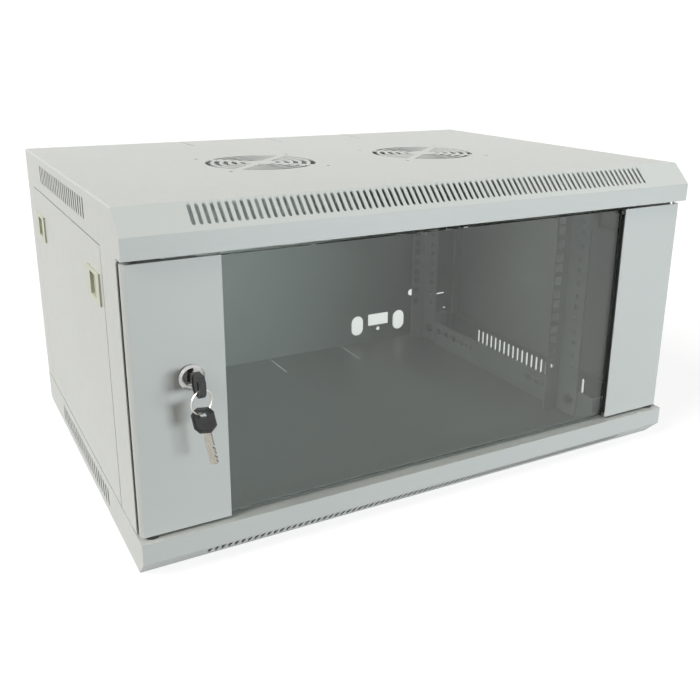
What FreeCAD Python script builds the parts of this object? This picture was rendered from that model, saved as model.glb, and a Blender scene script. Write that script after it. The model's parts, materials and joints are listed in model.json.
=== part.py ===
import FreeCAD, Part
import os
import re

import Sketcher
from FreeCAD import Rotation, Vector

# Wall mount network cabinet with a glass door, two lift-out side panels and four 19 inch rails.
# X runs to the right, -Y is the front and +Z is up.  The origin is the centre of the underside.
# All lengths are in millimetres.

# ---------------------------------------------------------------- driving sizes

SIZES = {
    # overall
    "width": 600,
    "depth": 440,
    "height": 314,
    # sheet metal
    "sheet": 1.2,
    "member_sheet": 1.5,
    "rail_sheet": 2,
    "seam": 2,
    "panel_gap": 0.8,
    "bend": 1.6,
    # top cover and base pan
    "top_band": 38,
    "base_band": 36,
    "slope": 20,
    "toe": 17,
    "front_return": 24,
    "rear_strip": 60,
    "front_vent_pitch": 6.25,
    "front_vent_count": 78,
    "front_vent_width": 3.3,
    "front_vent_low": 4,
    "front_vent_high": 1.2,
    "toe_vent_margin": 3.2,
    "side_vent_pitch": 10,
    "side_vent_count": 23,
    "side_vent_width": 4,
    "side_vent_height": 19,
    "side_vent_edge": 8.5,
    "knockout_width": 115,
    "knockout_depth": 58,
    "knockout_slit": 2,
    # fan grilles
    "fan_spacing": 200,
    "fan_offset": 10,
    "fan_screw_pitch": 105,
    "fan_screw_hole": 4.5,
    "grille_outer": 115,
    "grille_ring": 5.5,
    "grille_pitch": 9,
    "grille_spoke": 8,
    # cable entries in the right part of the rear strip
    "entry_strip": 120,
    "entry_middle": 179,
    "entry_height": 29,
    "entry_spacing": 72,
    "entry_width": 20,
    "entry_length": 30,
    "entry_plate_width": 35,
    "entry_plate_height": 18,
    "entry_plate_lift": 6,
    "entry_screw_hole": 6,
    "entry_screw_drop": 9,
    # corner columns
    "front_column": 68,
    "rear_column": 40,
    "column_lip": 7,
    "column_flange": 28,
    "rear_flange": 38,
    "panel_landing": 14,
    "tongue_grip": 28,
    "tongue_gap": 6,
    # back panel and wall mounting
    "back_lap": 12,
    "wall_hole": 10,
    "wall_hole_spacing": 472,
    "wall_hole_low": 70,
    "wall_hole_rise": 180,
    # 19 inch rails
    "rack_opening": 450.8,
    "rack_hole_spacing": 465.2,
    "rack_hole": 9.5,
    "rack_unit": 44.45,
    "rack_units": 5,
    "rack_hole_step": 15.875,
    "rack_start": 56.6,
    "rail_width": 22.6,
    "rail_flange": 34,
    "rail_foot": 3,
    "rail_set": 20,
    "rail_slot_length": 14,
    "rail_slot_width": 6.6,
    "side_hole": 6,
    # depth rails
    "member_height": 35,
    "member_flange": 16,
    "member_front": 55,
    "member_rear": 15,
    "bolt_line": 23,
    "bolt_hole": 8,
    "bolt_hole_pitch": 20,
    "bolt_holes_front": 5,
    "bolt_holes_rear": 7,
    "bolt_first_front": 38,
    "bolt_first_rear": 8,
    "pilot_hole": 4,
    # rail bolts
    "bolt": 6,
    "bolt_head": 11,
    "bolt_head_height": 3.6,
    "bolt_tail": 2,
    "nut": 10,
    "nut_height": 5,
    # door
    "door_setback": 6,
    "door_depth": 8,
    "door_gap_high": 4,
    "door_gap_side": 1.6,
    "door_clearance": 1.5,
    "door_panel": 79,
    "door_lip": 4.2,
    "glass": 4,
    "glass_lap": 18,
    "glass_trim": 1.5,
    "tape_inset": 5,
    "tape_width": 10,
    "seal_width": 1,
    "seal_set": 0.6,
    "corner_pad": 4,
    "corner_pad_height": 2.6,
    # hinges
    "hinge_inset": 11.5,
    "hinge_back": 10.6,
    "hinge_pin": 5,
    "hinge_play": 0.05,
    "hinge_pin_reach": 4,
    "hinge_pin_grip": 20,
    "hinge_bush": 8,
    "hinge_bush_reach": 1.5,
    "hinge_collar": 11,
    "hinge_collar_low": 2.5,
    "hinge_collar_high": 1.5,
    "hinge_bracket": 16,
    "hinge_bracket_width": 12,
    # lock
    "lock_inset": 51,
    "lock_height": 174,
    "lock_face": 22,
    "lock_face_height": 4,
    "lock_face_edge": 2,
    "lock_body": 19,
    "lock_body_length": 24,
    "lock_nut": 24,
    "lock_nut_height": 2.8,
    "lock_plug": 13,
    "lock_play": 0.05,
    "plug_recess": 0.8,
    "plug_tail": 8,
    "cam_length": 34,
    "cam_width": 14,
    "cam_sheet": 2,
    "cam_gap": 0.6,
    "cam_hub": 11,
    "cam_crank": 6,
    "cam_screw_head": 7,
    "cam_screw_height": 2.2,
    # keys
    "key_blade": 1.8,
    "key_height": 7,
    "key_length": 22,
    "key_play": 0.1,
    "key_root": 8,
    "key_notch": 1.6,
    "bow_length": 20,
    "bow_height": 18,
    "bow_sheet": 5.5,
    "bow_gap": 6,
    "bow_corner": 4,
    "bow_rim": 1.8,
    "bow_dish": 0.6,
    "ring_slot_width": 5,
    "ring_slot_height": 9,
    "ring_slot_edge": 2.6,
    "ring_wire": 1.3,
    "ring_radius": 9.9,
    "ring_play": 1,
    "ring_turn": 18,
    "spare_turn": 27,
    "spare_lean": 12,
    "spare_play": 1,
    # side panels
    "panel_return": 10,
    "panel_tab": 12,
    "panel_tab_width": 30,
    "panel_tab_inset": 12,
    "panel_tab_play": 0.3,
    # side panel latches
    "latch_inset": 32,
    "latch_drop": 39,
    "latch_length": 47,
    "latch_height": 28,
    "latch_proud": 1.6,
    "latch_body": 40,
    "latch_body_height": 24,
    "latch_depth": 8,
    "latch_wall": 1.8,
    "latch_stop": 1.5,
    "latch_play": 0.2,
    "latch_window": 20,
    "slider_length": 27,
    "slider_sheet": 2.6,
    "slider_travel": 6,
    "grip_length": 2.5,
    "grip_height": 1,
    "latch_bolt": 10,
    "latch_bolt_play": 0.5,
}

# Places that follow from the sizes, each a formula of sizes and other places.
PLACES = {
    "front": "-depth / 2",
    "back": "depth / 2",
    "side": "width / 2",
    "inside": "side - sheet",
    "bevel": "sheet * tan(22.5 deg)",
    "roof": "height - sheet",
    "band_top": "height - top_band",
    "skin_low": "base_band + seam",
    "panel_top": "band_top - seam",
    "fan_x": "fan_spacing / 2",
    # corner columns and side panels
    "skin_front": "door_back + door_clearance",
    "flange_face": "skin_front + column_lip",
    "flange_back": "flange_face + sheet",
    "panel_front": "front + front_column",
    "panel_rear": "back - rear_column",
    "front_seam": "panel_front - panel_gap",
    "rear_seam": "panel_rear + panel_gap",
    "tongue_inner": "inside - sheet",
    # back panel
    "back_edge": "side - rear_flange + back_lap",
    "back_low": "rear_strip - back_lap",
    "back_high": "band_top + back_lap",
    "back_face": "back - 2 * sheet",
    # rack frame
    "rail_inner": "rack_opening / 2",
    "rail_outer": "rail_inner + rail_width",
    "member_outer": "rail_outer + member_sheet",
    "member_top": "sheet + member_height",
    "member_y_front": "front + member_front",
    "member_y_rear": "back - member_rear",
    "front_bolt_y": "member_y_front + bolt_first_front",
    "rear_bolt_y": "member_y_rear - bolt_first_rear - bolt_hole_pitch",
    # door
    "door_front": "front + door_setback",
    "door_back": "door_front + door_depth",
    "door_low": "base_band + hinge_collar_low",
    "door_high": "band_top - door_gap_high",
    "door_side": "side - door_gap_side",
    "door_inner": "door_side - door_panel",
    "glass_front": "door_front + door_lip",
    "glass_side": "door_inner + glass_lap",
    "hinge_x": "side - hinge_inset",
    "hinge_y": "front + hinge_back",
    # lock and keys
    "lock_x": "side - lock_inset",
    "plug_front": "door_front - lock_face_height + plug_recess",
    "lock_rear": "door_front + lock_body_length",
    "cam_y": "lock_rear + cam_gap / 2",
    "cam_tip_y": "flange_back + cam_gap",
    "bow_y": "plug_front - bow_gap",
    "ring_slot_y": "ring_slot_edge + ring_slot_width / 2 - bow_length",
    "ring_y": "bow_y + ring_slot_y",
    "ring_top": "lock_height - ring_slot_height / 2 + ring_wire / 2 + ring_play",
    "ring_low": "ring_top - 2 * ring_radius",
    "spare_drop": "ring_slot_width / 2 - ring_wire / 2 - spare_play - ring_slot_y",
    "spare_aside": "spare_drop * sin(spare_lean * 1 deg)",
    # side panel latches
    "latch_z": "panel_top - latch_drop",
    "latch_front": "panel_front + latch_inset",
    "latch_rear": "panel_rear - latch_inset",
    "slider_outer": "inside - latch_play",
    "slider_inner": "slider_outer - slider_sheet",
    "latch_back": "slider_inner - latch_play",
}

GRILLE_RINGS = 5
TOOTH_DEPTHS = (0.6, 1.0, 0.4, 0.9)

doc = FreeCAD.newDocument("NetworkCabinet")
sheet = doc.addObject("Spreadsheet::Sheet", "Dims")
for row, (size_name, size) in enumerate(SIZES.items(), start=1):
    sheet.set(f"A{row}", size_name)
    sheet.set(f"B{row}", str(size))
    sheet.setAlias(f"B{row}", size_name)
doc.recompute()

WORD = re.compile(r"[a-z][a-z_0-9]*")
parts = []
cuts = []


# ---------------------------------------------------------------- formulas

def formula(text):
    """Spell out a formula: a place becomes its own formula and a size its cell of the sheet."""
    def spelled(word):
        if word[0] in PLACES:
            return "(" + formula(PLACES[word[0]]) + ")"
        return "Dims." + word[0] if word[0] in SIZES else word[0]
    return WORD.sub(spelled, str(text))


def value(text):
    """The number that a formula comes to now."""
    return float(sheet.evalExpression(formula(text)))


def bind(thing, **formulas):
    """Tie properties to formulas; two underscores in a name stand for a dot."""
    for path, text in formulas.items():
        thing.setExpression(path.replace("__", "."), formula(text))


def place(thing, x="0", y="0", z="0"):
    bind(thing, Placement__Base__x=x, Placement__Base__y=y, Placement__Base__z=z)


def part(thing, name):
    """Name a finished sub-part, which gets a file of its own."""
    thing.Label = name
    parts.append(thing)
    return thing


def times(hand, text):
    """A formula for the right side, or its mirror image for the left."""
    return text if hand > 0 else f"-({text})"


def span(hand, low, high):
    """A stretch of X on the right side, or its mirror image on the left."""
    return (low, high) if hand > 0 else (f"-({high})", f"-({low})")


def about(middle, length):
    return (f"{middle} - ({length}) / 2", f"{middle} + ({length}) / 2")


def rectangle(u, v):
    return [(u[0], v[0]), (u[1], v[0]), (u[1], v[1]), (u[0], v[1])]


# ---------------------------------------------------------------- sketches and their features

PLANES = {"x": "YZ_Plane", "y": "XZ_Plane", "z": "XY_Plane"}


def new_body(name, whole=True):
    body = doc.addObject("PartDesign::Body", name)
    return part(body, name) if whole else body


def hold(sketch, kind, where, text):
    """One dimension of a sketch, tied to a formula."""
    held = sketch.addConstraint(Sketcher.Constraint(kind, *where, value(text)))
    sketch.setExpression(f"Constraints[{held}]", formula(text))


def hold_point(sketch, line, end, u, v):
    hold(sketch, "DistanceX", (-1, 1, line, end), u)
    hold(sketch, "DistanceY", (-1, 1, line, end), v)


def point(u, v):
    return Vector(value(u), value(v), 0)


def draw_outline(sketch, corners):
    """A closed outline with straight sides."""
    points = [point(u, v) for u, v in corners]
    lines = [sketch.addGeometry(Part.LineSegment(*ends)) for ends in zip(points, points[1:] + points[:1])]
    for i, (u, v) in enumerate(corners):
        sketch.addConstraint(Sketcher.Constraint("Coincident", lines[i - 1], 2, lines[i], 1))
        hold_point(sketch, lines[i], 1, u, v)


def draw_circle(sketch, u, v, diameter):
    ring = sketch.addGeometry(Part.Circle(point(u, v), Vector(0, 0, 1), value(diameter) / 2))
    hold_point(sketch, ring, 3, u, v)
    hold(sketch, "Diameter", (ring,), diameter)


def draw_slot(sketch, u, v, width, length, upright):
    """A slot with round ends, along V where it is upright and along U where it is not."""
    radius = value(width) / 2
    reach = f"(({length}) - ({width})) / 2"
    turn = 0 if upright else -90
    arcs = []
    for sign, start in ((1, 0), (-1, 180)):
        centre = (u, f"{v} + {sign} * {reach}") if upright else (f"{u} + {sign} * {reach}", v)
        circle = Part.Circle(point(*centre), Vector(0, 0, 1), radius)
        first, last = (value(f"({start} + {turn} + {extra}) * pi / 180") for extra in (0, 180))
        arcs.append(sketch.addGeometry(Part.ArcOfCircle(circle, first, last)))
        hold_point(sketch, arcs[-1], 3, *centre)
        hold(sketch, "Radius", (arcs[-1],), f"({width}) / 2")
    for here, there in (arcs, arcs[::-1]):
        side = sketch.addGeometry(Part.LineSegment(sketch.getPoint(here, 2), sketch.getPoint(there, 1)))
        sketch.addConstraint(Sketcher.Constraint("Tangent", side, 1, here, 2))
        sketch.addConstraint(Sketcher.Constraint("Tangent", side, 2, there, 1))


def slab(body, axis, start, end, *loops, cut=False):
    """Pad or pocket flat outlines from start to end along an axis of the body.

    Each loop is a list of corners, or a drawing function with what it needs.  A sketch across X has
    Y and Z as its directions, one across Y has X and Z, and one across Z has X and Y.
    """
    sketch = body.newObject("Sketcher::SketchObject", "Sketch")
    plane = next(item for item in body.Origin.OriginFeatures if item.Role == PLANES[axis])
    sketch.AttachmentSupport = [(plane, "")]
    sketch.MapMode = "FlatFace"
    # the XZ plane looks along -Y, so a sketch on it starts from the far end
    bind(sketch, AttachmentOffset__Base__z=f"-({end})" if axis == "y" else start)
    for loop in loops:
        if isinstance(loop, list):
            draw_outline(sketch, loop)
        else:
            draw, *what = loop
            draw(sketch, *what)
    feature = body.newObject("PartDesign::Pocket" if cut else "PartDesign::Pad", "Cut" if cut else "Plate")
    feature.Profile = sketch
    feature.Reversed = cut
    bind(feature, Length=f"({end}) - ({start})")
    if cut:
        cuts.append((body, feature))
    return feature


def repeat(body, feature, axis, pitch, count):
    """Repeat a feature along an axis of its body."""
    pattern = body.newObject("PartDesign::LinearPattern", "Row")
    line = next(item for item in body.Origin.OriginFeatures if item.Role == axis.upper() + "_Axis")
    pattern.Originals = [feature]
    pattern.Direction = (line, [""])
    pattern.Mode = "Spacing"
    bind(pattern, Offset=pitch, Occurrences=count)
    body.Tip = pattern
    cuts.append((body, pattern))


def runs_along(edge, axis):
    """Whether an edge is straight along X, Y or Z, given as 0, 1 or 2."""
    ends = [vertex.Point for vertex in edge.Vertexes]
    return len(ends) == 2 and all(abs(ends[1][i] - ends[0][i]) < 1e-6 for i in range(3) if i != axis)


def round_folds(body, z, rear):
    """Round the outer folds between a pan's flat face, at height z, and its side bands and rear band."""
    doc.recompute()
    folded = body.Tip
    names = []
    for number, edge in enumerate(folded.Shape.Edges, start=1):
        middle = edge.BoundBox.Center
        at_side = runs_along(edge, 1) and abs(abs(middle.x) - value("side")) < 1e-6
        at_back = rear and runs_along(edge, 0) and abs(middle.y - value("back")) < 1e-6
        if (at_side or at_back) and abs(middle.z - value(z)) < 1e-6:
            names.append(f"Edge{number}")
    fillet = body.newObject("PartDesign::Fillet", "Folds")
    fillet.Base = (folded, names)
    bind(fillet, Radius="bend")
    body.Tip = fillet


# ---------------------------------------------------------------- primitives and booleans

TURNS = {"x": Rotation(Vector(0, 1, 0), 90), "y": Rotation(Vector(1, 0, 0), -90), "z": Rotation()}


def block(name, x, y, z):
    """A box between two formulas along each axis."""
    solid = doc.addObject("Part::Box", name)
    bind(solid, Length=f"({x[1]}) - ({x[0]})", Width=f"({y[1]}) - ({y[0]})", Height=f"({z[1]}) - ({z[0]})")
    place(solid, x[0], y[0], z[0])
    return solid


def rod(name, diameter, axis, ends, **centre):
    """A round bar between two formulas along an axis."""
    solid = doc.addObject("Part::Cylinder", name)
    bind(solid, Radius=f"({diameter}) / 2", Height=f"({ends[1]}) - ({ends[0]})")
    solid.Placement.Rotation = TURNS[axis]
    place(solid, **{**centre, axis: ends[0]})
    return solid


def fuse(name, *solids):
    joined = doc.addObject("Part::MultiFuse", name)
    joined.Shapes = list(solids)
    joined.Refine = True
    return joined


def cut(name, base, *tools):
    result = doc.addObject("Part::Cut", name)
    result.Base = base
    result.Tool = tools[0] if len(tools) == 1 else fuse(name + "_tools", *tools)
    result.Refine = True
    return result


def group(name, solids):
    """Equal solids that share one node."""
    together = doc.addObject("Part::Compound", name)
    together.Links = list(solids)
    return part(together, name)


# ---------------------------------------------------------------- top cover and base pan

def front_vents(body, y, z):
    """The row of slots across a sloping front face."""
    first = "(front_vent_pitch * (1 - front_vent_count) / 2)"
    slot = slab(body, "z", *z, rectangle(about(first, "front_vent_width"), y), cut=True)
    repeat(body, slot, "x", "front_vent_pitch", "front_vent_count")


def side_vents(body, z):
    """The rows of slots through the left and right bands, midway along the side panels."""
    first = "((panel_front + panel_rear + side_vent_pitch * (1 - side_vent_count)) / 2)"
    y = about(first, "side_vent_width")
    slot = slab(body, "x", "-side - sheet", "side + sheet", rectangle(y, z), cut=True)
    repeat(body, slot, "y", "side_vent_pitch", "side_vent_count")


def hinge_holes(body, z):
    """A bush hole at each end, so that the door can hang on either side."""
    holes = [(draw_circle, times(hand, "hinge_x"), "hinge_y", "hinge_bush") for hand in (-1, 1)]
    slab(body, "z", *z, *holes, cut=True)


def knockouts(body, z):
    """Slits that part the two cable knock-outs at the rear edge from the flat face."""
    y = ("back - sheet - knockout_depth", "back - 2 * sheet")
    slits = [rectangle(about(f"{i} * knockout_width", "knockout_slit"), y) for i in (-1, 0, 1)]
    slab(body, "z", *z, *slits, cut=True)


def spoke(name, sign, x, y):
    """One bar of the diagonal cross over a grille, turned by 45 degrees to the left or the right."""
    solid = doc.addObject("Part::Box", name)
    bind(solid, Length="grille_outer", Width="grille_spoke", Height="3 * sheet")
    solid.Placement.Rotation = Rotation(Vector(0, 0, 1), 45 * sign)
    across = f"(grille_outer - {sign} * grille_spoke) / sqrt(8)"
    along = f"({sign} * grille_outer + grille_spoke) / sqrt(8)"
    place(solid, f"{x} - {across}", f"{y} - {along}", "height - 2 * sheet")
    return solid


def grille(name, x, y):
    """Round slots in rings, divided by a diagonal cross, as one cutting tool."""
    rings = []
    for i in range(GRILLE_RINGS):
        outer = f"(grille_outer - {2 * i} * grille_pitch)"
        ends = ("roof - sheet", "height + sheet")
        disc = rod(f"{name}_disc", outer, "z", ends, x=x, y=y)
        core = rod(f"{name}_core", f"{outer} - 2 * grille_ring", "z", ends, x=x, y=y)
        rings.append(cut(f"{name}_ring", disc, core))
    return cut(name, fuse(f"{name}_rings", *rings), spoke(f"{name}_spoke", 1, x, y), spoke(f"{name}_spoke", -1, x, y))


def make_top_cover():
    body = new_body("top_pan", whole=False)
    slab(body, "x", "-side", "side", [
        ("front", "band_top"), ("front", "height - slope"), ("front + slope", "height"),
        ("back", "height"), ("back", "band_top")])
    slab(body, "x", "-inside", "inside", [
        ("front + sheet", "band_top"), ("front + sheet", "height - slope - bevel"),
        ("front + slope + bevel", "roof"), ("back - sheet", "roof"), ("back - sheet", "band_top")], cut=True)
    round_folds(body, "height", rear=True)
    slab(body, "z", "band_top", "band_top + sheet",
         rectangle(("-inside", "inside"), ("front + sheet", "front + front_return")))
    hinge_holes(body, ("band_top", "band_top + sheet"))
    front_vents(body, ("front + front_vent_low", "front + slope - front_vent_high"),
                ("height - slope", "height + sheet"))
    side_vents(body, ("height - side_vent_edge - side_vent_height", "height - side_vent_edge"))
    knockouts(body, ("roof", "height"))
    half = "fan_screw_pitch / 2"
    screws = [(draw_circle, f"{i} * fan_x + {j} * {half}", f"{k} * {half} - fan_offset", "fan_screw_hole")
              for i in (-1, 1) for j in (-1, 1) for k in (-1, 1)]
    slab(body, "z", "roof", "height", *screws, cut=True)
    part(cut("top_cover", body, grille("grille_left", "-fan_x", "-fan_offset"),
             grille("grille_right", "fan_x", "-fan_offset")), "top_cover")


def make_base_pan():
    body = new_body("base_pan")
    slab(body, "x", "-side", "side", [
        ("front + toe", "0"), ("front", "toe"), ("front", "base_band"), ("back", "base_band"), ("back", "0")])
    slab(body, "x", "-inside", "inside", [
        ("front + toe + bevel", "sheet"), ("front + sheet", "toe + bevel"), ("front + sheet", "base_band"),
        ("back", "base_band"), ("back", "sheet")], cut=True)
    round_folds(body, "0", rear=False)
    slab(body, "z", "base_band - sheet", "base_band",
         rectangle(("-inside", "inside"), ("front + sheet", "front + front_return")))
    hinge_holes(body, ("base_band - sheet", "base_band"))
    front_vents(body, ("front + toe_vent_margin", "front + toe - toe_vent_margin"), ("-sheet", "toe + bevel"))
    side_vents(body, ("side_vent_edge", "side_vent_edge + side_vent_height"))
    knockouts(body, ("0", "sheet"))


def make_rear_strips():
    """The upright strip along the rear edge of the floor, and the one beside it with the cable entries."""
    strip = new_body("rear_strip")
    slab(strip, "y", "back - sheet", "back", rectangle(("-inside", "entry_strip"), ("sheet", "rear_strip")))
    body = new_body("entry_strip")
    slab(body, "y", "back - sheet", "back", rectangle(("entry_strip", "inside"), ("sheet", "rear_strip")))
    slots = [(draw_slot, f"entry_middle + {i} * entry_spacing / 2", "entry_height", "entry_width", "entry_length", True)
             for i in (-1, 1)]
    window = rectangle(about("entry_middle", "entry_plate_width"),
                       about("entry_height + entry_plate_lift", "entry_plate_height"))
    screw = (draw_circle, "entry_middle", "entry_height - entry_screw_drop", "entry_screw_hole")
    slab(body, "y", "back - sheet", "back", *slots, window, screw, cut=True)


# ---------------------------------------------------------------- corner columns and back panel

def tongues(body, hand, y):
    """Tongues inside a column's skin that reach up and down behind the bands of the pans."""
    x = span(hand, "tongue_inner", "inside")
    slab(body, "z", "base_band - tongue_grip", "skin_low + tongue_grip", rectangle(x, y))
    slab(body, "z", "band_top - tongue_grip", "band_top + tongue_grip", rectangle(x, y))


def latch_slot(body, hand, y):
    """The slot for a side panel latch bolt in a flange that lies across Y."""
    x = span(hand, "slider_inner - latch_bolt_play", "inside")
    slab(body, "y", *y, rectangle(x, about("latch_z", "latch_bolt + 2 * latch_bolt_play")), cut=True)


def make_front_column(hand, name):
    body = new_body(name)
    corners = [
        ("side", "skin_front"), ("side", "front_seam"), ("side - panel_landing", "front_seam"),
        ("side - panel_landing", "front_seam - sheet"), ("inside", "front_seam - sheet"),
        ("inside", "flange_back"), ("side - column_flange", "flange_back"),
        ("side - column_flange", "flange_face"), ("inside", "flange_face"), ("inside", "skin_front")]
    slab(body, "z", "skin_low", "band_top", [(times(hand, x), y) for x, y in corners])
    tongues(body, hand, ("flange_back + tongue_gap", "front_seam - sheet - tongue_gap"))
    latch_slot(body, hand, ("front_seam - sheet", "front_seam"))


def make_rear_column(hand, name):
    body = new_body(name)
    corners = [
        ("side", "rear_seam"), ("side", "back"), ("side - rear_flange", "back"),
        ("side - rear_flange", "back - sheet"), ("inside", "back - sheet"),
        ("inside", "rear_seam + sheet"), ("side - panel_landing", "rear_seam + sheet"),
        ("side - panel_landing", "rear_seam")]
    slab(body, "z", "skin_low", "band_top", [(times(hand, x), y) for x, y in corners])
    slab(body, "y", "back - sheet", "back", rectangle(
        span(hand, "side - rear_flange", "inside"), ("skin_low", "rear_strip + seam")), cut=True)
    tongues(body, hand, ("rear_seam + sheet + tongue_gap", "back - sheet - tongue_gap"))
    latch_slot(body, hand, ("rear_seam", "rear_seam + sheet"))


def make_back_panel():
    body = new_body("back_panel")
    slab(body, "y", "back_face", "back - sheet", rectangle(("-back_edge", "back_edge"), ("back_low", "back_high")))
    wall_holes = [(draw_circle, f"{i} * wall_hole_spacing / 2", f"wall_hole_low + {j} * wall_hole_rise", "wall_hole")
                  for i in (-1, 1) for j in (0, 1)]
    slab(body, "y", "back_face", "back - sheet", *wall_holes, cut=True)


# ---------------------------------------------------------------- rack frame

def make_depth_rail(hand, up, name):
    """An angle from the front columns to the rear ones, with a tab turned out at each end."""
    def level(z):
        return f"height - ({z})" if up else z

    def levels(low, high):
        return (level(high), level(low)) if up else (low, high)

    body = new_body(name)
    corners = [
        ("rail_outer", "sheet"), ("rail_outer + member_flange", "sheet"),
        ("rail_outer + member_flange", "sheet + member_sheet"), ("member_outer", "sheet + member_sheet"),
        ("member_outer", "member_top"), ("rail_outer", "member_top")]
    slab(body, "y", "member_y_front", "member_y_rear", [(times(hand, x), level(z)) for x, z in corners])
    tab = rectangle(span(hand, "rail_outer", "tongue_inner"), levels("sheet", "member_top"))
    slab(body, "y", "member_y_front", "member_y_front + member_sheet", tab)
    slab(body, "y", "member_y_rear - member_sheet", "member_y_rear", tab)

    across = span(hand, "rail_outer", "member_outer")
    z = about(level("bolt_line"), "bolt_hole")
    rows = (("front_bolt_y", "bolt_holes_front"),
            ("(rear_bolt_y + (2 - bolt_holes_rear) * bolt_hole_pitch)", "bolt_holes_rear"))
    for first, count in rows:
        hole = slab(body, "x", *across, rectangle(about(first, "bolt_hole"), z), cut=True)
        repeat(body, hole, "y", "bolt_hole_pitch", count)
        small = about(f"{first} + bolt_hole_pitch / 2", "pilot_hole")
        hole = slab(body, "x", *across, rectangle(small, about(level("bolt_line"), "pilot_hole")), cut=True)
        repeat(body, hole, "y", "bolt_hole_pitch", f"{count} - 1")


def make_rack_rail(hand, bolt_y, name):
    """An angle with the 19 inch hole pattern in its front flange; its side flange points forward."""
    body = new_body(name)
    corners = [
        ("rail_inner", "0"), ("rail_outer - rail_sheet", "0"), ("rail_outer - rail_sheet", "rail_sheet - rail_flange"),
        ("rail_outer", "rail_sheet - rail_flange"), ("rail_outer", "rail_sheet"), ("rail_inner", "rail_sheet")]
    slab(body, "z", "rail_foot", "height - rail_foot", [(times(hand, x), y) for x, y in corners])

    first = "rack_start + rack_unit / 2"
    levels = [f"{first} + {i} * rack_hole_step" for i in (-1, 0, 1)]
    x = about(times(hand, "rack_hole_spacing / 2"), "rack_hole")
    holes = slab(body, "y", "0", "rail_sheet", *[rectangle(x, about(z, "rack_hole")) for z in levels], cut=True)
    repeat(body, holes, "z", "rack_unit", "rack_units")
    across = span(hand, "rail_outer - rail_sheet", "rail_outer")
    y = about("-rail_set", "side_hole")
    holes = slab(body, "x", *across, *[rectangle(y, about(z, "side_hole")) for z in levels], cut=True)
    repeat(body, holes, "z", "rack_unit", "rack_units")
    slots = [(draw_slot, "-rail_set", z, "rail_slot_width", "rail_slot_length", False)
             for z in ("bolt_line", "height - bolt_line")]
    slab(body, "x", *across, *slots, cut=True)
    place(body, y=f"{bolt_y} + rail_set")


def prism(name, flats, axis, ends, **centre):
    """A hexagonal bar between two formulas along an axis."""
    solid = doc.addObject("Part::Prism", name)
    solid.Polygon = 6
    bind(solid, Circumradius=f"({flats}) / sqrt(3)", Height=f"({ends[1]}) - ({ends[0]})")
    solid.Placement.Rotation = TURNS[axis]
    place(solid, **{**centre, axis: ends[0]})
    return solid


def make_rail_fasteners():
    """Bolts through the rails' side flanges and the depth rails, with square nuts outside."""
    bolts, nuts = [], []
    seat = "rail_outer - rail_sheet"
    top = f"{seat} - bolt_head_height"
    for hand in (-1, 1):
        for y in ("front_bolt_y", "rear_bolt_y"):
            for z in ("bolt_line", "height - bolt_line"):
                head = prism("bolt_head", "bolt_head", "x", span(hand, top, seat), y=y, z=z)
                tail = span(hand, top, "member_outer + nut_height + bolt_tail")
                bolts.append(fuse("rail_bolt", head, rod("bolt_shank", "bolt", "x", tail, y=y, z=z)))
                x = span(hand, "member_outer", "member_outer + nut_height")
                nut = block("nut_block", x, about(y, "nut"), about(z, "nut"))
                nuts.append(cut("nut", nut, rod("nut_bore", "bolt", "x", x, y=y, z=z)))
    group("rail_bolts", bolts)
    group("rail_nuts", nuts)


# ---------------------------------------------------------------- door

def make_door_panel(hand, name):
    """A folded steel panel with returns at its outer edge, top and bottom, and a lip on the glass."""
    body = new_body(name)
    corners = [
        ("door_side", "door_front"), ("door_side", "door_back"), ("door_side - sheet", "door_back"),
        ("door_side - sheet", "door_front + sheet"), ("door_inner + sheet", "door_front + sheet"),
        ("door_inner + sheet", "glass_front"), ("door_inner", "glass_front"), ("door_inner", "door_front")]
    slab(body, "z", "door_low", "door_high", [(times(hand, x), y) for x, y in corners])
    shelf = rectangle(span(hand, "glass_side + sheet", "door_side - sheet"), ("door_front + sheet", "door_back"))
    slab(body, "z", "door_low", "door_low + sheet", shelf)
    slab(body, "z", "door_high - sheet", "door_high", shelf)
    if hand > 0:
        pin = (draw_circle, "hinge_x", "hinge_y", "hinge_pin")
        slab(body, "z", "door_low", "door_low + sheet", pin, cut=True)
        slab(body, "z", "door_high - sheet", "door_high", pin, cut=True)
    else:
        lock = (draw_circle, "-lock_x", "lock_height", "lock_body")
        slab(body, "y", "door_front", "door_front + sheet", lock, cut=True)


def make_glass():
    part(block("door_glass", ("-glass_side", "glass_side"), ("glass_front", "glass_front + glass"),
               ("door_low + glass_trim", "door_high - glass_trim")), "door_glass")
    z = ("door_low + 2 * tape_inset", "door_high - 2 * tape_inset")
    group("glass_tapes", [
        block("tape", span(hand, "door_inner + tape_inset", "door_inner + tape_inset + tape_width"),
              ("door_front + sheet", "glass_front"), z) for hand in (-1, 1)])

    # a seal along the hinge side of the glass, between a pad at its foot and one at its head
    low, high = "door_low + glass_trim", "door_high - glass_trim"
    seal = (f"{low} + corner_pad", f"{high} - corner_pad")
    part(block("glass_seal", ("door_inner - seal_width", "door_inner"), ("door_front + seal_set", "glass_front"), seal),
         "glass_seal")
    x, y = ("door_inner - corner_pad", "door_inner"), ("glass_front - corner_pad_height", "glass_front")
    group("glass_corner_pads", [block("pad", x, y, z) for z in ((low, seal[0]), (seal[1], high))])


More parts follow.
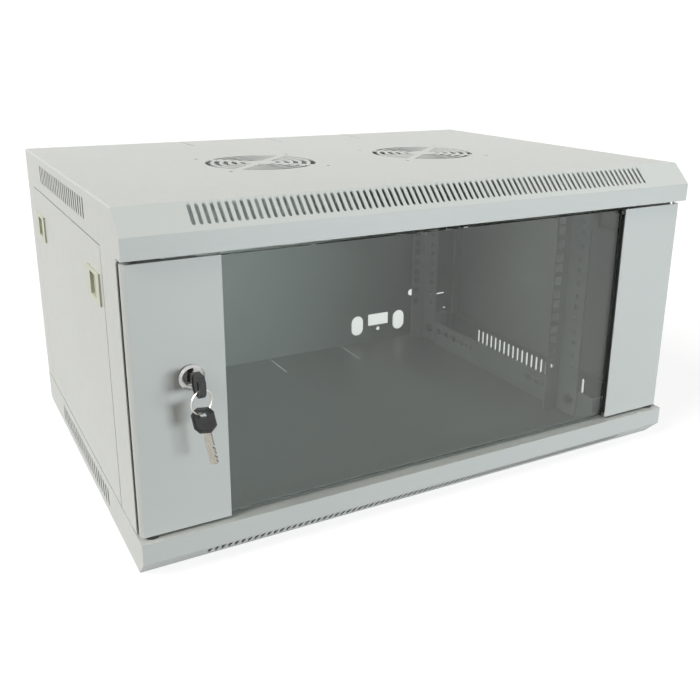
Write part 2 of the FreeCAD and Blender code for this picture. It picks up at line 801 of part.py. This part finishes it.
def make_hinges():
    """Pins in the door's right panel, turning in collared bushes; the left bushes are spare."""
    bushes = []
    for hand in (-1, 1):
        for face, collar, sleeve in (
                ("base_band", ("base_band", "base_band + hinge_collar_low"),
                 ("base_band - sheet - hinge_bush_reach", "base_band")),
                ("band_top", ("band_top - hinge_collar_high", "band_top"),
                 ("band_top", "band_top + sheet + hinge_bush_reach"))):
            centre = {"x": times(hand, "hinge_x"), "y": "hinge_y"}
            solid = fuse("bush_solid", rod("collar", "hinge_collar", "z", collar, **centre),
                         rod("sleeve", "hinge_bush", "z", sleeve, **centre))
            bore = rod("bush_bore", "hinge_pin + 2 * hinge_play", "z", (f"{face} - top_band", f"{face} + top_band"),
                       **centre)
            bushes.append(cut("bush", solid, bore))
    group("hinge_bushes", bushes)

    centre = {"x": "hinge_x", "y": "hinge_y"}
    low = ("base_band - hinge_pin_reach", "door_low + hinge_pin_grip")
    high = ("door_high - hinge_pin_grip", "band_top + hinge_pin_reach")
    part(rod("hinge_pin_lower", "hinge_pin", "z", low, **centre), "hinge_pin_lower")
    part(rod("hinge_pin_upper", "hinge_pin", "z", high, **centre), "hinge_pin_upper")
    brackets = []
    for z in (("door_low + sheet", "door_low + sheet + hinge_bracket"),
              ("door_high - sheet - hinge_bracket", "door_high - sheet")):
        solid = block("bracket", about("hinge_x", "hinge_bracket_width"), ("door_front + sheet", "door_back"), z)
        brackets.append(cut("hinge_bracket", solid, rod("bracket_bore", "hinge_pin", "z", z, **centre)))
    group("hinge_brackets", brackets)


# ---------------------------------------------------------------- lock and keys

def make_lock():
    centre = {"x": "-lock_x", "z": "lock_height"}
    rim = rod("rim", "lock_face", "y", ("door_front - lock_face_edge", "door_front"), **centre)
    dome = doc.addObject("Part::Cone", "dome")
    bind(dome, Radius1="lock_face / 2 - lock_face_height + lock_face_edge", Radius2="lock_face / 2",
         Height="lock_face_height - lock_face_edge")
    dome.Placement.Rotation = TURNS["y"]
    place(dome, "-lock_x", "door_front - lock_face_height", "lock_height")
    barrel = rod("barrel", "lock_body", "y", ("door_front", "lock_rear"), **centre)
    bore = rod("lock_bore", "lock_plug + 2 * lock_play", "y", ("door_front - lock_face", "lock_rear"), **centre)
    part(cut("lock_housing", fuse("lock_solid", rim, dome, barrel), bore), "lock_housing")

    y = ("door_front + sheet", "door_front + sheet + lock_nut_height")
    nut = prism("nut_prism", "lock_nut", "y", y, **centre)
    part(cut("lock_nut", nut, rod("nut_thread", "lock_body", "y", y, **centre)), "lock_nut")

    tail = about("-lock_x", "plug_tail"), ("cam_y", "cam_y + cam_sheet"), about("lock_height", "plug_tail")
    plug = fuse("plug_solid", rod("plug_round", "lock_plug", "y", ("plug_front", "cam_y"), **centre),
                block("plug_square", *tail))
    keyway = block("keyway", about("-lock_x", "key_blade + 2 * key_play"),
                   ("plug_front", "plug_front + key_length + 2 * key_play"),
                   about("lock_height", "key_height + 2 * key_play"))
    part(cut("lock_plug", plug, keyway), "lock_plug")

    cam = new_body("lock_cam")
    front, back = "cam_y", "cam_y + cam_sheet"
    slab(cam, "x", *about("-lock_x", "cam_width"), [
        (front, "lock_height + cam_width / 2"), (front, "lock_height - cam_hub"),
        ("cam_tip_y", "lock_height - cam_hub - cam_crank"), ("cam_tip_y", "lock_height - cam_length"),
        ("cam_tip_y + cam_sheet", "lock_height - cam_length"),
        ("cam_tip_y + cam_sheet", "lock_height - cam_hub - cam_crank"),
        (back, "lock_height - cam_hub"), (back, "lock_height + cam_width / 2")])
    slab(cam, "y", front, back, rectangle(tail[0], tail[2]), cut=True)
    part(rod("cam_screw", "cam_screw_head", "y", (back, f"{back} + cam_screw_height"), **centre), "cam_screw")


def make_key(blade_name, bow_name):
    """A key along +Y from its bow's front face, flat across X; its teeth are cut in its lower edge."""
    blade = new_body(blade_name)
    half = "key_height / 2"
    tip = "(bow_gap + key_length)"
    edge = [("-key_root", half), (f"{tip} - key_notch", half), (tip, f"{half} - key_notch"),
            (tip, f"key_notch - {half}"), (f"{tip} - key_notch", f"-{half}")]
    pitch = "(key_length / 6)"
    for i, depth in enumerate(TOOTH_DEPTHS, start=1):
        y = f"({tip} - {i} * {pitch})"
        floor = f"{depth} * key_notch - {half}"
        edge += [(f"{y} + 0.35 * {pitch}", f"-{half}"), (f"{y} + 0.1 * {pitch}", floor),
                 (f"{y} - 0.1 * {pitch}", floor), (f"{y} - 0.35 * {pitch}", f"-{half}")]
    edge.append(("-key_root", f"-{half}"))
    slab(blade, "x", "-key_blade / 2", "key_blade / 2", edge)

    def bow_outline(inset):
        y = (f"{inset} - bow_length", f"-{inset}")
        z = f"(bow_height / 2 - {inset})"
        corner = f"(bow_corner - {inset} / 2)"
        return [(f"{y[0]} + {corner}", f"-{z}"), (f"{y[1]} - {corner}", f"-{z}"), (y[1], f"{corner} - {z}"),
                (y[1], f"{z} - {corner}"), (f"{y[1]} - {corner}", z), (f"{y[0]} + {corner}", z),
                (y[0], f"{z} - {corner}"), (y[0], f"{corner} - {z}")]

    bow = new_body(bow_name)
    slab(bow, "x", "-bow_sheet / 2", "bow_sheet / 2", bow_outline("0"))
    slab(bow, "x", "-bow_sheet / 2", "bow_dish - bow_sheet / 2", bow_outline("bow_rim"), cut=True)
    slab(bow, "x", "bow_sheet / 2 - bow_dish", "bow_sheet / 2", bow_outline("bow_rim"), cut=True)
    slab(bow, "x", "-bow_sheet / 2", "bow_sheet / 2",
         (draw_slot, "ring_slot_y", "0", "ring_slot_width", "ring_slot_height", True), cut=True)
    slab(bow, "x", "-key_blade / 2", "key_blade / 2", rectangle(("-key_root", "0"), about("0", "key_height")), cut=True)
    return blade, bow


def make_keys():
    for piece in make_key("key_blade", "key_bow"):
        place(piece, "-lock_x", "bow_y", "lock_height")
    # the ring hangs turned about the vertical, and the spare key on it turned further and leaning
    upright = Vector(0, 0, 1)
    turned = Rotation(upright, SIZES["ring_turn"])
    hanging = turned * Rotation(upright, SIZES["spare_turn"]) * Rotation(Vector(1, 0, 0), -90 - SIZES["spare_lean"])
    for piece in make_key("spare_key_blade", "spare_key_bow"):
        piece.Placement.Rotation = hanging
        place(piece, "spare_aside * sin((ring_turn + spare_turn) * 1 deg) - lock_x",
              "ring_y - spare_aside * cos((ring_turn + spare_turn) * 1 deg)",
              "ring_low - spare_drop * cos(spare_lean * 1 deg)")
    wire = doc.addObject("Part::RegularPolygon", "wire_section")
    wire.Polygon = 8
    bind(wire, Circumradius="ring_wire / 2")
    wire.Placement.Rotation = turned * TURNS["x"]
    place(wire, y="ring_y", x="-lock_x", z="ring_top")
    ring = doc.addObject("Part::Revolution", "ring")
    ring.Source = wire
    ring.Axis = turned.multVec(Vector(0, 1, 0))
    bind(ring, Base__x="-lock_x", Base__y="ring_y", Base__z="ring_top - ring_radius")
    ring.Solid = True
    part(ring, "key_ring")


# ---------------------------------------------------------------- side panels and their latches

def make_side_panel(hand, name):
    """A shallow pan with two tabs that stand behind the base band."""
    body = new_body(name)
    y, z = ("panel_front", "panel_rear"), ("skin_low", "panel_top")
    slab(body, "x", *span(hand, "side - panel_return", "side"), rectangle(y, z))
    slab(body, "x", *span(hand, "side - panel_return", "inside"), rectangle(
        ("panel_front + sheet", "panel_rear - sheet"), ("skin_low + sheet", "panel_top - sheet")), cut=True)
    tab = span(hand, "inside - panel_tab_play - sheet", "inside - panel_tab_play")
    slab(body, "z", "skin_low - panel_tab", "skin_low + sheet",
         rectangle(tab, ("panel_front + panel_tab_inset", "panel_front + panel_tab_inset + panel_tab_width")),
         rectangle(tab, ("panel_rear - panel_tab_inset - panel_tab_width", "panel_rear - panel_tab_inset")))
    openings = [rectangle(about(middle, "latch_body"), about("latch_z", "latch_body_height"))
                for middle in ("latch_front", "latch_rear")]
    slab(body, "x", *span(hand, "inside", "side"), *openings, cut=True)
    latch_slot(body, hand, ("panel_front", "panel_front + sheet"))
    latch_slot(body, hand, ("panel_rear - sheet", "panel_rear"))


def latch_frame(hand, middle, end):
    """A moulded frame in a side panel, with a finger window; its bolt leaves towards end, -1 or 1."""
    z = "latch_z"
    bezel = block("bezel", span(hand, "side", "side + latch_proud"), about(middle, "latch_length"),
                  about(z, "latch_height"))
    box = block("latch_box", span(hand, "side - latch_depth", "side"), about(middle, "latch_body"),
                about(z, "latch_body_height"))
    room = "latch_body - 2 * latch_wall"
    tall = "latch_body_height - 2 * latch_wall"
    window = block("window", span(hand, "inside", "side + latch_proud"), about(middle, "latch_window"), about(z, tall))
    track = block("track", span(hand, "latch_back", "inside"), about(middle, room), about(z, tall))
    rear = block("rear_opening", span(hand, "side - latch_depth", "latch_back"),
                 about(middle, f"{room} - 2 * latch_stop"), about(z, f"{tall} - 2 * latch_stop"))
    exit_middle = f"{middle} + {end} * latch_body / 2"
    exit_slot = block("bolt_exit", span(hand, "latch_back", "inside"), about(exit_middle, "4 * latch_wall"),
                      about(z, "latch_bolt + 2 * latch_play"))
    return cut("latch_frame", fuse("latch_solid", bezel, box), window, track, rear, exit_slot)


def make_latch_slider(hand, middle, edge, end, name):
    """The slider of a latch, drawn back, with a rib in the window and a bolt towards the column."""
    z = "latch_z"
    rest = f"({middle} - {end} * slider_travel / 2)"
    x = span(hand, "slider_inner", "slider_outer")
    plate = block("slider_plate", x, about(rest, "slider_length"),
                  about(z, "latch_body_height - 2 * latch_wall - 2 * latch_play"))
    grip = block("slider_grip", span(hand, "slider_outer", "slider_outer + grip_height"),
                 about(rest, "grip_length"), about(z, "latch_body_height - 2 * latch_wall - 2 * latch_play"))
    reach = (f"{edge} + latch_play", rest) if end < 0 else (rest, f"{edge} - latch_play")
    tongue = block("slider_bolt", x, reach, about(z, "latch_bolt"))
    part(fuse(name, plate, grip, tongue), name)


def make_side(hand, word):
    make_side_panel(hand, f"side_panel_{word}")
    group(f"latch_frames_{word}", [latch_frame(hand, "latch_front", -1), latch_frame(hand, "latch_rear", 1)])
    make_latch_slider(hand, "latch_front", "panel_front", -1, f"latch_slider_{word}_front")
    make_latch_slider(hand, "latch_rear", "panel_rear", 1, f"latch_slider_{word}_rear")
    make_front_column(hand, f"front_column_{word}")
    make_rear_column(hand, f"rear_column_{word}")
    make_depth_rail(hand, False, f"depth_rail_lower_{word}")
    make_depth_rail(hand, True, f"depth_rail_upper_{word}")
    make_rack_rail(hand, "front_bolt_y", f"front_rail_{word}")
    make_rack_rail(hand, "rear_bolt_y", f"rear_rail_{word}")
    make_door_panel(hand, f"door_panel_{word}")


# ---------------------------------------------------------------- build, check and write

def check_model():
    """Stop on any failed object, empty or invalid shape, or cut that removes nothing."""
    for thing in doc.Objects:
        if {"Invalid", "Error"} & set(thing.State):
            raise RuntimeError(f"{thing.Name} ({thing.Label}) failed: {thing.State}")
    for body, feature in cuts:
        before = feature.getPropertyByName("BaseFeature") or body
        if feature.Shape.Volume >= before.Shape.Volume:
            raise RuntimeError(f"{feature.Name} of {body.Label} cuts nothing")
    for thing in parts:
        if thing.Shape.isNull() or not thing.Shape.isValid() or not thing.Shape.Solids:
            raise RuntimeError(f"{thing.Label} has no sound solid")


def main():
    make_top_cover()
    make_base_pan()
    make_rear_strips()
    make_back_panel()
    make_side(-1, "left")
    make_side(1, "right")
    make_rail_fasteners()
    make_glass()
    make_hinges()
    make_lock()
    make_keys()
    doc.recompute()
    check_model()
    os.makedirs("parts", exist_ok=True)
    for thing in parts:
        thing.Shape.exportStep(f"parts/{thing.Label}.step")
    print(len(parts), "sub-parts,", sum(len(thing.Shape.Solids) for thing in parts), "solids")


main()
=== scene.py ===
"""Looks for the wall mount network cabinet: softened sheet metal, paint, tinted glass and a studio."""
import json
import math

import bmesh
import bpy
from mathutils import Matrix, Vector


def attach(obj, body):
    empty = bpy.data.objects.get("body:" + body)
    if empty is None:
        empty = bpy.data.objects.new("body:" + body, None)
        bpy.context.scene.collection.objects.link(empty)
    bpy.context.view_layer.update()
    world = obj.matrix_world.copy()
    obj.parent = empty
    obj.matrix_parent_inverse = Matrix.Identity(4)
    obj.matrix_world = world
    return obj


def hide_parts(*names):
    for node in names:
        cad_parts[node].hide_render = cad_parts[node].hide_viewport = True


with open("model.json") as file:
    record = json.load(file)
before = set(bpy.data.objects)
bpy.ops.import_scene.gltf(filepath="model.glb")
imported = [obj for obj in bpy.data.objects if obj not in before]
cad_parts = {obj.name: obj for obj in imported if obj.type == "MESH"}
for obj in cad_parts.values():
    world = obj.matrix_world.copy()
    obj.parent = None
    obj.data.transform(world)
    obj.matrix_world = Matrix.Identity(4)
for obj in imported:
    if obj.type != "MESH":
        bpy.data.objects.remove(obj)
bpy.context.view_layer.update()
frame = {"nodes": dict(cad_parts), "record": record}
RECORD = frame["record"]
NODES = frame["nodes"]
BODY = {node: body for body, nodes in RECORD["behaviour"]["bodies"].items() for node in nodes}
SLOT = {piece["node"]: piece["material_slot"] for piece in RECORD["subparts"]}
MM = 0.001

# Softening of folded sheet. Lengths are in millimetres and angles in degrees.
JOIN_WITHIN = 0.004         # vertices nearer than this are one
FLAT_WITHIN = 0.5           # faces that meet at less than this are one
FOLD_LENGTH = 20            # a fold is at least this long,
FOLD_BREADTH = 3.0          # lies between faces broader than this,
FOLD_ANGLE = 20             # and turns at least this much
FOLD_SEGMENTS = 3
OUTER_WITHIN = 0.1          # an outer fold is this near to the outermost side
OUTER_SEGMENTS = 5
SHEET_REACH = 2.2           # an edge that goes through the sheet is shorter than this
CORNER_ANGLE = 60           # and one at a slot's corner turns at least this much
SLOT_WITHIN = 0.1
SLOT_ROUND = 0.4            # a corner's radius, as a share of the slot's width
SLOT_SEGMENTS = 3
EDGE_ANGLE = 40             # edges sharper than this are broken
EDGE_SEGMENTS = 2
SHARP_ANGLE = 32            # edges sharper than this stay sharp in shading
VENT_WIDTHS = (3.3, 4.0)    # slots across the front, and slots in the sides

# The middle of a noise's values, which is spread over the range that a look asks for
NOISE_LOW, NOISE_HIGH = 0.3, 0.7
DETAIL = 3.0

# For each material slot: its name, colour, gloss and kind; the size and colour of its patches; the size of
# its changes in gloss, from and to which roughness; and the size, depth and strength of its bumps. Sizes and
# depths are in millimetres. A stretch makes the grain run along an axis.
# The rails' grey is painted light. The rails have the same paint as the cabinet, and their grey is made paler
# to stand in for light on their faces against the shaded walls behind.
GREY, RAIL_GREY_PAINTED_LIT = (0.610, 0.625, 0.595), (0.74, 0.76, 0.74)
CHROME, NICKEL, CREAM = (0.48, 0.48, 0.47), (0.44, 0.42, 0.37), (0.585, 0.600, 0.475)
COAT = {"IOR": 1.5, "Specular IOR Level": 0.3}
METAL = {"Metallic": 1.0}


def tint(colour, factor):
    return tuple(channel * factor for channel in colour)


FINISHES = {
    "cabinet_paint": ("powder_coat", GREY, 0.42, COAT,
                      (180, tint(GREY, 0.965)), (9, 0.38, 0.46), (1.6, 0.02, 0.08)),
    # Painted light: the rails' paler grey stands in for light on their faces against the shaded walls behind.
    "rail_paint": ("rail_coat_painted_lit", RAIL_GREY_PAINTED_LIT, 0.38, COAT,
                   (60, tint(RAIL_GREY_PAINTED_LIT, 0.94)), (7, 0.34, 0.44), (1.4, 0.015, 0.08)),
    "zinc": ("zinc_plate", (0.62, 0.61, 0.58), 0.3, METAL,
             (5, (0.66, 0.62, 0.50)), (2.5, 0.22, 0.42), (0.8, 0.02, 0.3)),
    "lock_chrome": ("chrome_plate", CHROME, 0.12, METAL,
                    (6, tint(CHROME, 0.9)), (3, 0.08, 0.2), None),
    "key_steel": ("key_nickel", NICKEL, 0.25, METAL,
                  (3, tint(NICKEL, 0.85)), (1.5, 0.2, 0.34, (1, 1, 6)), (0.5, 0.01, 0.12, (1, 1, 8))),
    "black_plastic": ("moulded_black", (0.012, 0.012, 0.013), 0.35, {"IOR": 1.48},
                      (4, (0.022, 0.022, 0.023)), (3, 0.28, 0.42), (0.35, 0.03, 0.4)),
    "black_nylon": ("nylon", (0.016, 0.016, 0.017), 0.5, {"IOR": 1.45},
                    (3, (0.03, 0.03, 0.03)), (2, 0.45, 0.6), (0.5, 0.03, 0.4)),
    "foam_tape": ("foam", (0.02, 0.021, 0.021), 0.85, {},
                  (2, (0.035, 0.035, 0.035)), (1, 0.8, 0.95), (0.4, 0.08, 0.6)),
    "black_rubber": ("extruded_rubber", (0.010, 0.010, 0.011), 0.6, {"IOR": 1.45},
                     (6, (0.016, 0.016, 0.017)), (3, 0.55, 0.7), (0.5, 0.02, 0.3)),
    "latch_plastic": ("moulded_cream", CREAM, 0.4, {"IOR": 1.46},
                      (12, tint(CREAM, 0.95)), (4, 0.34, 0.46), (0.4, 0.02, 0.4)),
}


# ---------------------------------------------------------------- materials

class Shader:
    """A material whose Principled node is fed in object space, so that its grain has a real size."""

    def __init__(self, name, colour, roughness, values):
        self.material = bpy.data.materials.new(name)
        self.material.use_nodes = True
        self.tree = self.material.node_tree
        self.main = self.tree.nodes["Principled BSDF"]
        self.main.inputs["Base Color"].default_value = (*colour, 1)
        self.main.inputs["Roughness"].default_value = roughness
        for socket, value in values.items():
            self.main.inputs[socket].default_value = value
        self.colour = colour
        self.place = self.node("ShaderNodeTexCoord").outputs["Object"]

    def node(self, kind, inputs=None, **settings):
        made = self.tree.nodes.new(kind)
        for key, value in settings.items():
            setattr(made, key, value)
        for key, value in (inputs or {}).items():
            if isinstance(value, bpy.types.NodeSocket):
                self.tree.links.new(value, made.inputs[key])
            else:
                made.inputs[key].default_value = value
        return made

    def link(self, output, socket):
        self.tree.links.new(output, self.main.inputs[socket])

    def noise(self, size, stretch=None):
        """Noise whose grains are about this many millimetres across."""
        place = self.place
        if stretch:
            place = self.node("ShaderNodeMapping", {"Vector": place, "Scale": stretch}).outputs[0]
        inputs = {"Vector": place, "Scale": 1 / (size * MM), "Detail": DETAIL}
        return self.node("ShaderNodeTexNoise", inputs).outputs["Fac"]

    def spread(self, noise, low, high):
        return self.node("ShaderNodeMapRange", {"Value": noise, "From Min": NOISE_LOW, "From Max": NOISE_HIGH,
                                                "To Min": low, "To Max": high}).outputs[0]

    def patches(self, size, other):
        """Blend the base colour towards another in soft patches."""
        mix = self.node("ShaderNodeMix", {"Factor": self.spread(self.noise(size), 0.0, 1.0)}, data_type="RGBA")
        mix.inputs["A"].default_value = (*self.colour, 1)
        mix.inputs["B"].default_value = (*other, 1)
        self.link(mix.outputs["Result"], "Base Color")

    def gloss(self, size, low, high, stretch=None):
        self.link(self.spread(self.noise(size, stretch), low, high), "Roughness")

    def bumps(self, size, depth, strength, stretch=None):
        bump = self.node("ShaderNodeBump", {"Height": self.noise(size, stretch), "Distance": depth * MM,
                                            "Strength": strength})
        self.link(bump.outputs[0], "Normal")


def make_materials():
    made = {}
    for slot, (name, colour, roughness, values, patches, gloss, bumps) in FINISHES.items():
        shader = Shader(name, colour, roughness, values)
        shader.patches(*patches)
        shader.gloss(*gloss)
        if bumps:
            shader.bumps(*bumps)
        made[slot] = shader.material
    made["tinted_glass"] = make_glass()
    return made


def make_glass():
    """Grey glass. Shadow rays go straight through it, and take its tint along."""
    shader = Shader("tinted_glass_pane", (0.67, 0.715, 0.69), 0.0,
                    {"IOR": 1.5, "Transmission Weight": 1.0, "Specular IOR Level": 0.04})
    path = shader.node("ShaderNodeLightPath")
    clear = shader.node("ShaderNodeBsdfTransparent", {"Color": (0.36, 0.38, 0.37, 1)})
    mix = shader.node("ShaderNodeMixShader", {0: path.outputs["Is Shadow Ray"], 1: shader.main.outputs[0],
                                              2: clear.outputs[0]})
    shader.tree.links.new(mix.outputs[0], shader.tree.nodes["Material Output"].inputs["Surface"])
    return shader.material


MATERIALS = make_materials()


def dress(obj, slot):
    obj.data.materials.clear()
    obj.data.materials.append(MATERIALS[slot])


# ---------------------------------------------------------------- softened copies of folded sheet

def breadth(face):
    return face.calc_area() / max(edge.calc_length() for edge in face.edges)


def is_fold(edge):
    """A long convex corner between two broad faces, where the sheet is bent over."""
    if len(edge.link_faces) != 2 or edge.calc_length() < FOLD_LENGTH * MM or not edge.is_convex:
        return False
    if edge.calc_face_angle() < math.radians(FOLD_ANGLE):
        return False
    return all(breadth(face) > FOLD_BREADTH * MM for face in edge.link_faces)


def is_slot_corner(edge, width):
    """A short concave corner through the sheet, at the end of a slot of this width."""
    if len(edge.link_faces) != 2 or edge.is_convex or edge.calc_length() >= SHEET_REACH * MM:
        return False
    if edge.calc_face_angle() < math.radians(CORNER_ANGLE):
        return False
    narrow = min(face.calc_area() / edge.calc_length() for face in edge.link_faces)
    return abs(narrow - width * MM) < SLOT_WITHIN * MM


def clean_copy(node):
    """The node's mesh with its split vertices joined and its flat faces whole again."""
    bm = bmesh.new()
    bm.from_mesh(NODES[node].data)
    bmesh.ops.remove_doubles(bm, verts=bm.verts, dist=JOIN_WITHIN * MM)
    bmesh.ops.dissolve_limit(bm, angle_limit=math.radians(FLAT_WITHIN), verts=bm.verts, edges=bm.edges)
    return bm


def rounded(bm, edges, radius, segments):
    bmesh.ops.bevel(bm, geom=edges, offset=radius * MM, offset_type="OFFSET", segments=segments, profile=0.5,
                    affect="EDGES", clamp_overlap=True)


def soften(node, fold=1.2, edge=0.2, slots=(), outer=None):
    """A copy of a CAD node with bent folds, rounded slots and broken edges, which stands for it.

    The folds at the side that is outermost may have a larger radius of their own.
    """
    bm = clean_copy(node)
    if outer:
        side = max(abs(vert.co.x) for vert in bm.verts) - OUTER_WITHIN * MM
        rounded(bm, [e for e in bm.edges if is_fold(e) and all(abs(v.co.x) > side for v in e.verts)],
                outer, OUTER_SEGMENTS)
    for width in slots:
        corners = [e for e in bm.edges if is_slot_corner(e, width)]
        if corners:
            rounded(bm, corners, width * SLOT_ROUND, SLOT_SEGMENTS)
    rounded(bm, [e for e in bm.edges if is_fold(e)], fold, FOLD_SEGMENTS)
    mesh = bpy.data.meshes.new(f"{node}_skin")
    bm.to_mesh(mesh)
    bm.free()
    for polygon in mesh.polygons:
        polygon.use_smooth = True
    mesh.set_sharp_from_angle(angle=math.radians(SHARP_ANGLE))
    piece = bpy.data.objects.new(f"{node}_skin", mesh)
    bpy.context.collection.objects.link(piece)
    bevel = piece.modifiers.new("edges", "BEVEL")
    bevel.width = edge * MM
    bevel.segments = EDGE_SEGMENTS
    bevel.limit_method = "ANGLE"
    bevel.angle_limit = math.radians(EDGE_ANGLE)
    piece.modifiers.new("flat_faces", "WEIGHTED_NORMAL").keep_sharp = True
    dress(piece, SLOT[node])
    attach(piece, BODY[node])
    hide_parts(node)


for node, obj in NODES.items():
    dress(obj, SLOT[node])

for pan in ("top_cover", "base_pan"):
    soften(pan, slots=VENT_WIDTHS)
for side in ("left", "right"):
    soften(f"door_panel_{side}", fold=0.8, outer=3.8)
    soften(f"side_panel_{side}", fold=1.0)
    soften(f"front_column_{side}", fold=1.0)
    soften(f"rear_column_{side}", fold=1.0)
    for place in ("front", "rear"):
        soften(f"{place}_rail_{side}", fold=1.6, edge=0.15)
    for place in ("lower", "upper"):
        soften(f"depth_rail_{place}_{side}", edge=0.15)


# ---------------------------------------------------------------- studio

def add_lamp(name, kind, power, colour, place, towards):
    data = bpy.data.lights.new(name, kind)
    data.energy = power
    data.color = colour
    lamp = bpy.data.objects.new(name, data)
    bpy.context.collection.objects.link(lamp)
    lamp.location = place
    lamp.rotation_euler = Vector(towards).to_track_quat("-Z", "Y").to_euler()
    return data


def white_to_the_eye(tree, shade, bright, output):
    """What the eye sees, plainly, in gloss or through glass, has the bright shader, and all else the other.

    Light that a surface has scattered once is not seen by the eye, so it stays with the other shader too.
    """
    path = tree.nodes.new("ShaderNodeLightPath").outputs

    def work(operation, first, second):
        node = tree.nodes.new("ShaderNodeMath")
        node.operation = operation
        tree.links.new(first, node.inputs[0])
        if isinstance(second, bpy.types.NodeSocket):
            tree.links.new(second, node.inputs[1])
        else:
            node.inputs[1].default_value = second
        return node.outputs[0]

    bent = work("MAXIMUM", path["Is Glossy Ray"], path["Is Transmission Ray"])
    unscattered = work("LESS_THAN", path["Diffuse Depth"], 0.5)
    seen = work("MAXIMUM", path["Is Camera Ray"], work("MULTIPLY", bent, unscattered))
    mix = tree.nodes.new("ShaderNodeMixShader")
    for socket, value in enumerate((seen, shade, bright)):
        tree.links.new(value, mix.inputs[socket])
    tree.links.new(mix.outputs[0], output)


def make_world():
    """A soft light that grows towards the right, and a white background."""
    world = bpy.data.worlds.new("studio")
    bpy.context.scene.world = world
    world.use_nodes = True
    tree = world.node_tree
    soft = tree.nodes["Background"]
    soft.inputs["Color"].default_value = (0.99, 1.0, 0.92, 1)
    place = tree.nodes.new("ShaderNodeTexCoord")
    across = tree.nodes.new("ShaderNodeSeparateXYZ")
    ramp = tree.nodes.new("ShaderNodeMapRange")
    for socket, value in (("From Min", -0.1), ("From Max", 0.8), ("To Min", 0.05), ("To Max", 0.56)):
        ramp.inputs[socket].default_value = value
    tree.links.new(place.outputs["Generated"], across.inputs[0])
    tree.links.new(across.outputs["X"], ramp.inputs["Value"])
    tree.links.new(ramp.outputs[0], soft.inputs["Strength"])
    bright = tree.nodes.new("ShaderNodeBackground")
    bright.inputs["Color"].default_value = (1, 1, 1, 1)
    bright.inputs["Strength"].default_value = 1.25
    output = tree.nodes["World Output"].inputs["Surface"]
    white_to_the_eye(tree, soft.outputs[0], bright.outputs[0], output)


def make_floor():
    """A pale floor that glows to the eye, up to white where no shadow falls."""
    mesh = bpy.data.meshes.new("floor")
    mesh.from_pydata([(-6, -6, 0), (6, -6, 0), (6, 6, 0), (-6, 6, 0)], [], [(0, 1, 2, 3)])
    floor = bpy.data.objects.new("floor", mesh)
    bpy.context.collection.objects.link(floor)
    shader = Shader("pale_floor", (0.30, 0.30, 0.30), 0.9, {"Specular IOR Level": 0.0})
    glow = shader.node("ShaderNodeEmission", {"Color": (1, 1, 1, 1), "Strength": 0.83})
    lifted = shader.node("ShaderNodeAddShader", {0: shader.main.outputs[0], 1: glow.outputs[0]})
    output = shader.tree.nodes["Material Output"].inputs["Surface"]
    white_to_the_eye(shader.tree, shader.main.outputs[0], lifted.outputs[0], output)
    mesh.materials.append(shader.material)


def make_camera():
    """The photo's camera, fitted to the cabinet's edges."""
    data = bpy.data.cameras.new("camera")
    data.lens = 42.95
    data.sensor_width = 36
    data.shift_x = -0.0060
    data.shift_y = -0.0587
    camera = bpy.data.objects.new("camera", data)
    bpy.context.collection.objects.link(camera)
    yaw, pitch, roll = -0.502, 0.3019, 0.0078
    ahead = Vector((-math.sin(yaw) * math.cos(pitch), math.cos(yaw) * math.cos(pitch), -math.sin(pitch)))
    right = Vector((math.cos(yaw), math.sin(yaw), 0))
    up = right.cross(ahead)
    across = math.cos(roll) * right + math.sin(roll) * up
    turn = Matrix((across, across.cross(ahead), -ahead)).transposed()
    camera.matrix_world = Matrix.Translation((-0.43575, -0.82674, 0.42776)) @ turn.to_4x4()
    bpy.context.scene.camera = camera


def make_lamps():
    sun = add_lamp("key", "SUN", 2.95, (1.0, 0.99, 0.97), (0, 0, 0), (0.78, 0.0, -0.626))
    sun.angle = math.radians(40)
    place, target = Vector((1.1, -2.6, 0.2)), Vector((0.0, -0.1, 0.15))
    softbox = add_lamp("right_softbox", "AREA", 62.0, (0.85, 0.92, 0.98), place, target - place)
    softbox.shape = "RECTANGLE"
    softbox.size, softbox.size_y = 1.0, 0.8


make_world()
make_floor()
make_camera()
make_lamps()
bpy.context.scene.view_settings.view_transform = "Standard"
